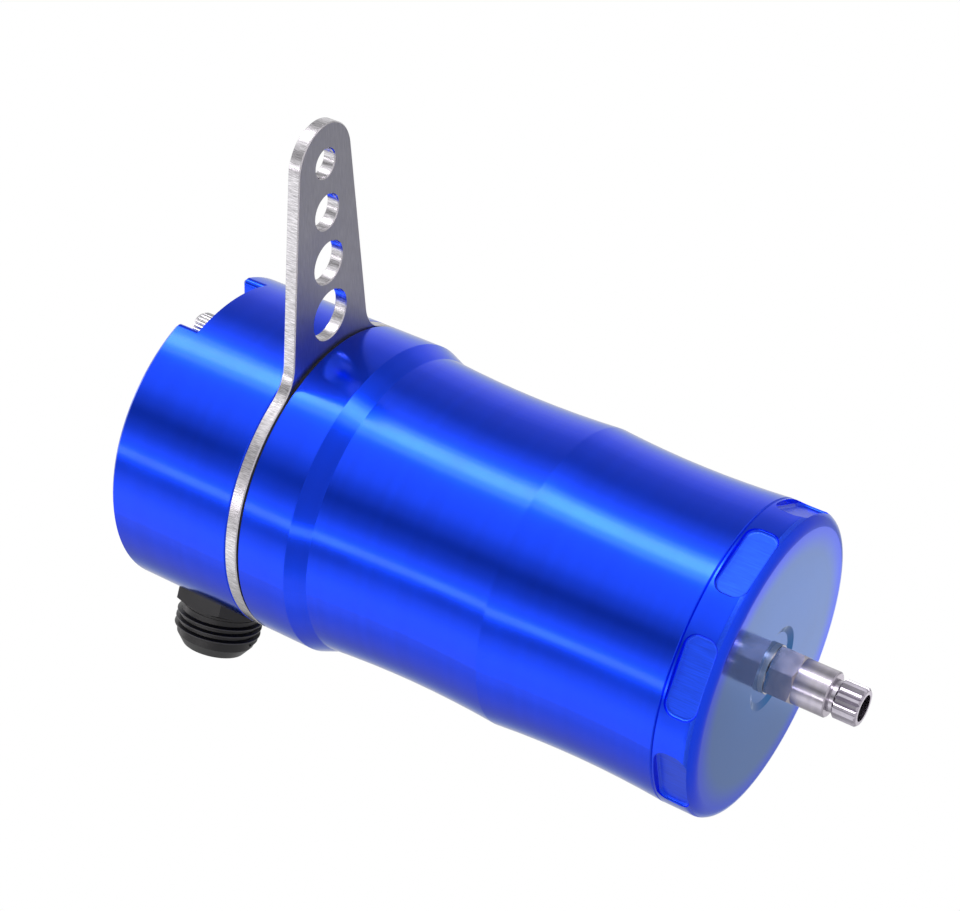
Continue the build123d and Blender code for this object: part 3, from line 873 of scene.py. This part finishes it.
class CATCHCAN_OT_stage(bpy.types.Operator):
    """Lay the floor, light the room and place the camera"""

    bl_idname = "catchcan.stage"
    bl_label = "Stage"

    def execute(self, context):
        stage = context.scene.catchcan_stage
        self.floor(stage)
        self.room(stage)
        for name, azimuth, width, brightness in STRIPS:
            self.upright_lamp(name, radians(azimuth), stage.lamp_distance,
                              stage.lamp_height / 2 - stage.floor_drop, (width, stage.lamp_height),
                              brightness)
        card_height = 2 * (stage.card_rise - stage.card_gap)
        self.upright_lamp("low_card", stage.card_azimuth, stage.card_distance,
                          stage.card_rise - stage.floor_drop, (stage.card_width, card_height),
                          stage.card_level)
        self.lamp("overhead_box", OVERHEAD_PLACE, OVERHEAD_BACK,
                  (stage.overhead_side, stage.overhead_side), stage.overhead_level)
        self.camera(stage)
        context.scene.view_settings.view_transform = "Standard"
        return {"FINISHED"}

    def floor(self, stage):
        bm = bmesh.new()
        bmesh.ops.create_circle(bm, cap_ends=True, segments=ROUND_SIDES, radius=stage.floor_radius)
        bmesh.ops.translate(bm, verts=bm.verts, vec=(0, 0, cad_low.z - stage.floor_drop))
        material, tree, shader, place = new_material("pale_floor", stage.floor_grey, metallic=0.0)
        roughen(tree, shader, place, clean=0.55, dull=0.65, size=0.5)
        mesh_object("floor", bm, [material])

    def room(self, stage):
        """White to the camera, soft grey and white walls in the metal, even fill elsewhere."""
        world = bpy.data.worlds.new("studio")
        bpy.context.scene.world = world
        world.use_nodes = True
        tree = world.node_tree
        tree.nodes.clear()
        away = add(tree, "SeparateXYZ", [(0, add(tree, "TexCoord").outputs["Generated"])])
        azimuth = maths(tree, "ARCTAN2", away.outputs[1], away.outputs[0])
        position = maths(tree, "ADD", maths(tree, "DIVIDE", azimuth, 2 * pi), 0.5)
        walls = add(tree, "ValToRGB", [(0, position)])
        ramp = walls.color_ramp
        ramp.interpolation = "EASE"
        while len(ramp.elements) < len(ROOM):
            ramp.elements.new(1.0)
        for element, (angle, grey) in zip(ramp.elements, ROOM):
            element.position = (angle + 180) / 360
            element.color = (grey, grey, grey, 1)
        rays = add(tree, "LightPath")
        fill = add(tree, "Background", [("Color", (1, 1, 1, 1)), ("Strength", stage.fill_level)])
        seen = add(tree, "Background", [("Color", walls.outputs[0]), ("Strength", 1.0)])
        white = add(tree, "Background", [("Color", (1, 1, 1, 1)), ("Strength", 1.0)])
        shiny = maths(tree, "MAXIMUM", rays.outputs["Is Glossy Ray"], rays.outputs["Is Transmission Ray"])
        inner = add(tree, "MixShader", [(0, shiny), (1, fill.outputs[0]), (2, seen.outputs[0])])
        outer = add(tree, "MixShader", [(0, rays.outputs["Is Camera Ray"]), (1, inner.outputs[0]),
                                        (2, white.outputs[0])])
        end = tree.nodes.new("ShaderNodeOutputWorld")
        tree.links.new(outer.outputs[0], end.inputs[0])

    def upright_lamp(self, name, azimuth, distance, rise, size, brightness):
        """Lamp that stands round the can at an azimuth and faces its axis."""
        back = Vector((cos(azimuth), sin(azimuth), 0))
        self.lamp(name, back * distance + Vector((0, 0, rise)), back, size, brightness)

    def lamp(self, name, middle, back, size, brightness):
        """Rectangular soft box that shows the given brightness in a mirror; its back points away."""
        light = bpy.data.lights.new(name, "AREA")
        light.shape = "RECTANGLE"
        light.size, light.size_y = size
        light.energy = brightness * pi * size[0] * size[1]
        light.color = LAMP_TINT
        lamp = place_object(name, light)
        lamp.location = middle
        lamp.rotation_euler = back.to_track_quat("Z", "Y").to_euler()
        lamp.visible_camera = False

    def camera(self, stage):
        data = bpy.data.cameras.new("photo_camera")
        data.lens = stage.focal_length
        data.sensor_width = SENSOR_WIDTH
        data.clip_start = CLIP_NEAR
        data.clip_end = CLIP_FAR
        camera = place_object("photo_camera", data)
        axes = Matrix((CAMERA_RIGHT, CAMERA_UP, CAMERA_BACK)).transposed()
        camera.matrix_world = Matrix.Translation(CAMERA_PLACE) @ axes.to_4x4()
        bpy.context.scene.camera = camera


STEPS = (CATCHCAN_OT_blue_body, CATCHCAN_OT_bracket, CATCHCAN_OT_hose_fittings, CATCHCAN_OT_cap_screws,
         CATCHCAN_OT_drain_valve, CATCHCAN_OT_base_thread, CATCHCAN_OT_inner_pieces, CATCHCAN_OT_stage)

GROUPED_SIZES = (("catchcan_finishes", CATCHCAN_Finishes), ("catchcan_fitting", CATCHCAN_FittingSizes),
                 ("catchcan_screw", CATCHCAN_ScrewSizes), ("catchcan_base_thread", CATCHCAN_BaseThreadSizes),
                 ("catchcan_stage", CATCHCAN_Stage))


class CATCHCAN_PT_panel(bpy.types.Panel):
    """Steps that dress the can, and their sizes"""

    bl_idname = "CATCHCAN_PT_panel"
    bl_label = "Catch Can"
    bl_space_type = "VIEW_3D"
    bl_region_type = "UI"
    bl_category = "Catch Can"

    def draw(self, context):
        for step in STEPS:
            self.layout.operator(step.bl_idname)
        for name, group in GROUPED_SIZES:
            box = self.layout.box()
            box.label(text=group.__doc__)
            for field in group.__annotations__:
                box.prop(getattr(context.scene, name), field)


def register():
    for name, group in GROUPED_SIZES:
        bpy.utils.register_class(group)
        setattr(bpy.types.Scene, name, PointerProperty(type=group))
    for step in (*STEPS, CATCHCAN_PT_panel):
        bpy.utils.register_class(step)


def unregister():
    for step in (CATCHCAN_PT_panel, *reversed(STEPS)):
        bpy.utils.unregister_class(step)
    for name, group in reversed(GROUPED_SIZES):
        delattr(bpy.types.Scene, name)
        bpy.utils.unregister_class(group)


def main():
    register()
    bpy.ops.catchcan.blue_body()
    bpy.ops.catchcan.bracket()
    bpy.ops.catchcan.hose_fittings()
    bpy.ops.catchcan.cap_screws()
    bpy.ops.catchcan.drain_valve()
    bpy.ops.catchcan.base_thread()
    bpy.ops.catchcan.inner_pieces()
    bpy.ops.catchcan.stage()


if __name__ == "__main__":
    main()
